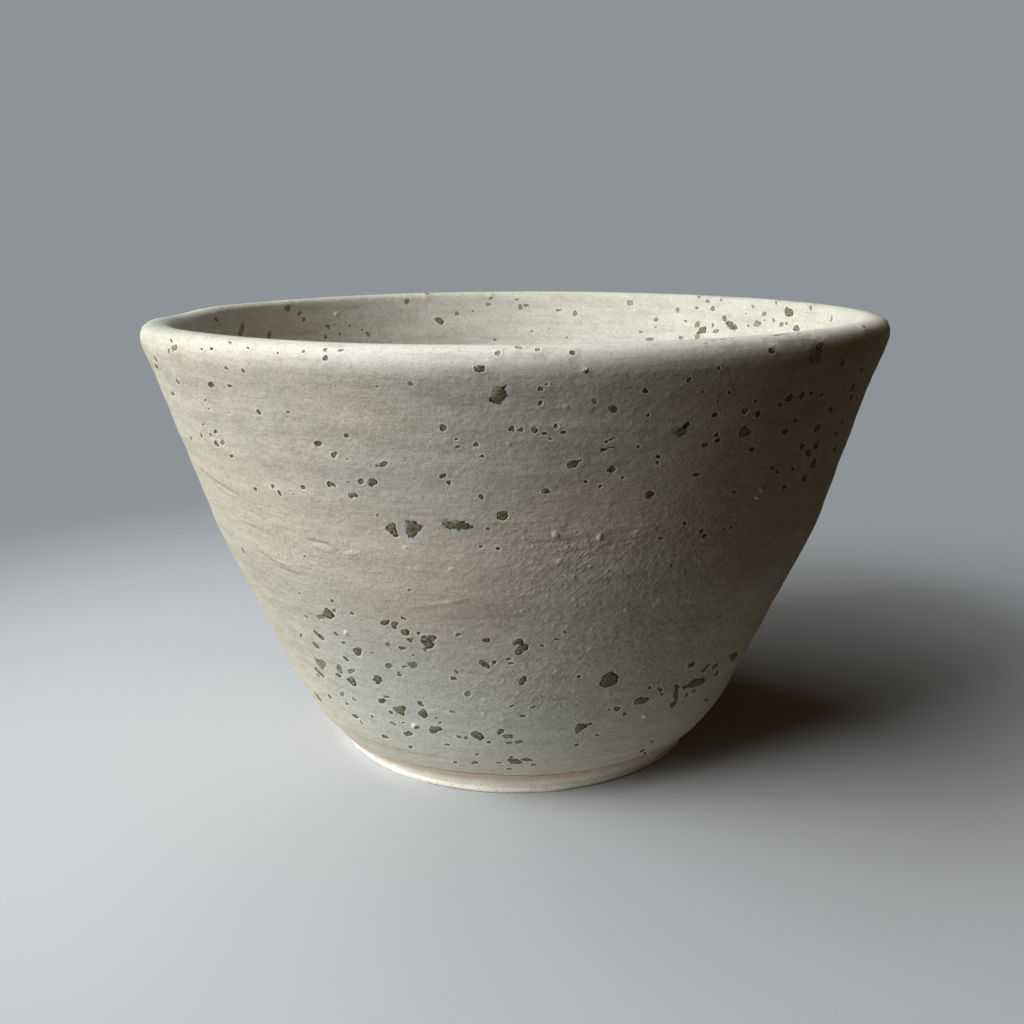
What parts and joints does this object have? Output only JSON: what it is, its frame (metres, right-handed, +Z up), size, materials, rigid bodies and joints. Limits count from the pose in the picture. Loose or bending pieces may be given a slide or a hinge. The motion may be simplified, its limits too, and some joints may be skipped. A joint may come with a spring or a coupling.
{
  "type": "yarn bowl",
  "caption": "Hand-thrown conical stoneware bowl with a rounded lip and trimmed foot ring, matt speckled glaze inside and out and bare clay at the foot.",
  "frame": {"origin": "centre of the circle that the foot ring stands on", "axes": "+Z up along the bowl's axis; the front faces -Y"},
  "size_m": [0.15, 0.15, 0.091],
  "materials": {
    "fired_clay": "bare fired stoneware, fine and dry",
    "liner_glaze": "matt oatmeal glaze with olive-grey specks",
    "outer_glaze": "matt oatmeal glaze with olive-grey specks",
    "iron_grain": "satin olive-grey melt"
  },
  "bodies": {
    "root": {"clay_body": "fired_clay", "liner_glaze": "liner_glaze", "outer_glaze": "outer_glaze", "iron_grains": "iron_grain"}
  },
  "joints": []
}
